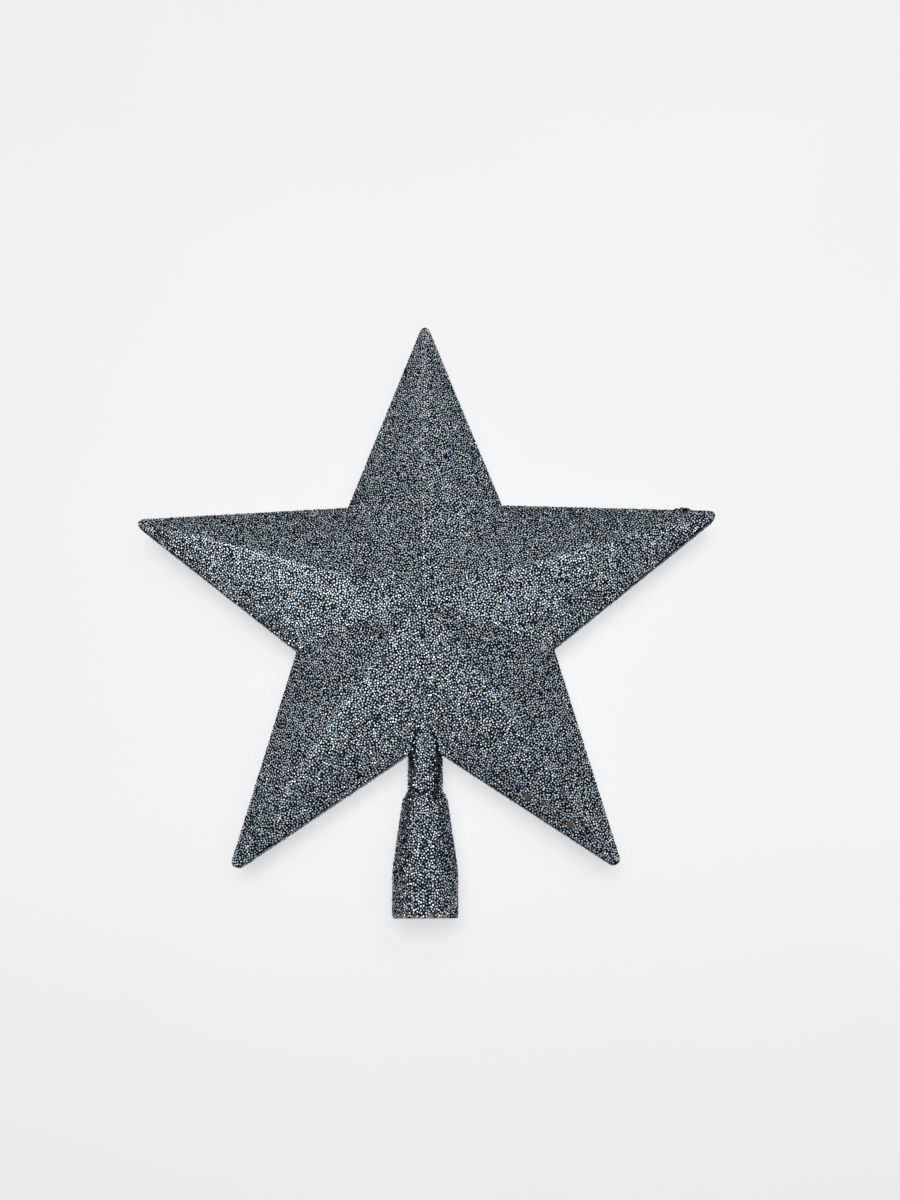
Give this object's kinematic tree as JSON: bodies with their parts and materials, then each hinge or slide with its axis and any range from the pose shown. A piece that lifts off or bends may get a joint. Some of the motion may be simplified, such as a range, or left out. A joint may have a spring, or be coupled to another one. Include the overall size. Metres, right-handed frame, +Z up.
{
  "type": "christmas tree topper star",
  "caption": "Glitter-coated star tree topper with ridged, slightly domed arms, hollow moulded halves and a tapered sleeve that slips over a tree's top twig.",
  "frame": {"origin": "centre of the sleeve's mouth, where the tree's top twig goes in", "axes": "+Z up along the sleeve and neck to the top arm, -Y towards the front of the star, +X to the right as seen from the front"},
  "size_m": [0.1932, 0.037, 0.1997],
  "materials": {
    "shell_plastic": "taupe moulded plastic, bare where the flakes have worn off",
    "sleeve_plastic": "beige moulded plastic, bare at the mouth",
    "glitter": "slate blue and silver metallised flakes in clear glue"
  },
  "bodies": {
    "root": {"front_shell": "shell_plastic", "back_shell": "shell_plastic", "tree_socket": "sleeve_plastic", "front_glitter_coat": "glitter", "back_glitter_coat": "glitter"}
  },
  "joints": []
}
